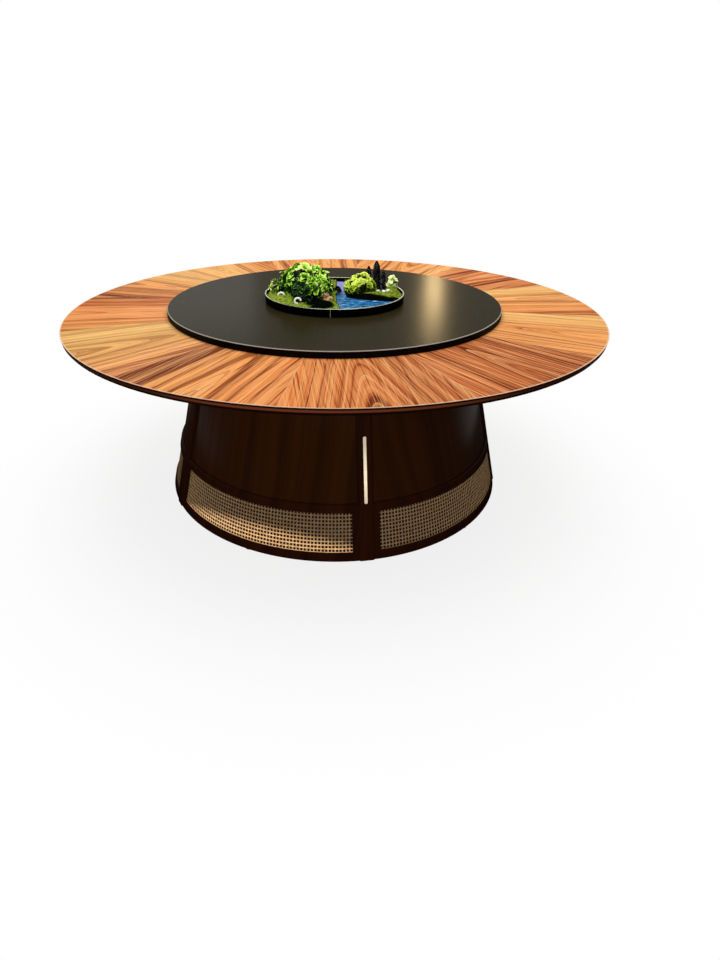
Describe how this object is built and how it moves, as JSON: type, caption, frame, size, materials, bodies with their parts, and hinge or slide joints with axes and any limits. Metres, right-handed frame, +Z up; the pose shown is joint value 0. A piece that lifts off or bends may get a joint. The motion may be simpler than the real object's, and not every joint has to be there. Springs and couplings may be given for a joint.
{
  "type": "banquet table",
  "caption": "Round banquet table with sunburst veneer top, black spinning turntable, landscape tray and a flared drum base with cane panels and a brass strip.",
  "frame": {"origin": "on the floor, under the middle of the table", "axes": "+Z up, with one post of the drum at the front, towards -Y"},
  "size_m": [2.2, 2.2, 0.9479],
  "materials": {
    "stained_wood": "very dark brown satin stain",
    "panel_veneer": "very dark brown satin veneer",
    "cane": "natural woven cane",
    "backing_board": "dark stained board",
    "brass": "satin champagne brass",
    "zinc_steel": "zinc plated",
    "glide_plastic": "moulded",
    "beam_pine": "sawn and planed pine",
    "core_board": "raw fibreboard",
    "edge_wood": "dark stained, satin",
    "walnut_veneer": "satin lacquered walnut veneer",
    "race_aluminium": "turned",
    "cage_plastic": "moulded",
    "ball_steel": "polished",
    "black_satin": "black satin lacquer",
    "black_gloss": "black gloss lacquer",
    "rim_metal": "polished edge",
    "moss": "preserved moss",
    "water_resin": "cast blue resin",
    "bark": "rough bark",
    "tree_leaves": "moulded leaves",
    "shrub_leaves": "moulded leaves",
    "black_rock": "cast stone",
    "pale_stone": "cast stone"
  },
  "bodies": {
    "table": {"post_1": "stained_wood", "post_2": "stained_wood", "post_3": "stained_wood", "post_4": "stained_wood", "post_5": "stained_wood", "middle_rail_1": "stained_wood", "middle_rail_2": "stained_wood", "middle_rail_3": "stained_wood", "middle_rail_4": "stained_wood", "middle_rail_5": "stained_wood", "bottom_rail_1": "stained_wood", "bottom_rail_2": "stained_wood", "bottom_rail_3": "stained_wood", "bottom_rail_4": "stained_wood", "bottom_rail_5": "stained_wood", "cane_stiles": "stained_wood", "drum_top_ring": "stained_wood", "drum_floor_ring": "stained_wood", "corner_blocks": "stained_wood", "upper_panel_1": "panel_veneer", "upper_panel_2": "panel_veneer", "upper_panel_3": "panel_veneer", "upper_panel_4": "panel_veneer", "upper_panel_5": "panel_veneer", "cane_panel_1": "cane", "cane_panel_2": "cane", "cane_panel_3": "cane", "cane_panel_4": "cane", "cane_panel_5": "cane", "cane_backings": "backing_board", "brass_strips": "brass", "wood_screws": "zinc_steel", "race_screws_lower": "zinc_steel", "leaf_connectors": "zinc_steel", "levelling_feet": "glide_plastic", "cross_beam_upper": "beam_pine", "cross_beam_lower": "beam_pine", "top_core_right": "core_board", "top_core_left": "core_board", "edge_lipping_right": "edge_wood", "edge_lipping_left": "edge_wood", "veneer_right": "walnut_veneer", "veneer_left": "walnut_veneer", "bearing_lower_race": "race_aluminium"},
    "ball_cage": {"ball_cage": "cage_plastic", "bearing_balls": "ball_steel"},
    "turntable": {"bearing_upper_race": "race_aluminium", "race_screws_upper": "zinc_steel", "turntable_board": "black_satin", "turntable_apron": "black_satin"},
    "tray": {"tray_pan": "black_gloss", "tray_rim": "rim_metal", "moss_banks": "moss", "water": "water_resin", "tree_trunk": "bark", "tree_crown": "tree_leaves", "shrubs": "shrub_leaves", "dark_rocks": "black_rock", "stones": "pale_stone"}
  },
  "joints": [
    {"name": "turntable_spin", "type": "hinge", "parent": "table", "child": "turntable", "pos_m": [0, 0, 0.766], "axis": [0, 0, 1], "continuous": true},
    {"name": "ball_cage_spin", "type": "hinge", "parent": "table", "child": "ball_cage", "pos_m": [0, 0, 0.766], "axis": [0, 0, 1], "continuous": true},
    {"name": "tray_lift", "type": "slide", "parent": "turntable", "child": "tray", "axis": [0, 0, 1], "range_m": [0, 0.15]}
  ],
  "couplings": [
    {"joint": "ball_cage_spin", "follows": "turntable_spin", "ratio": 0.5}
  ]
}
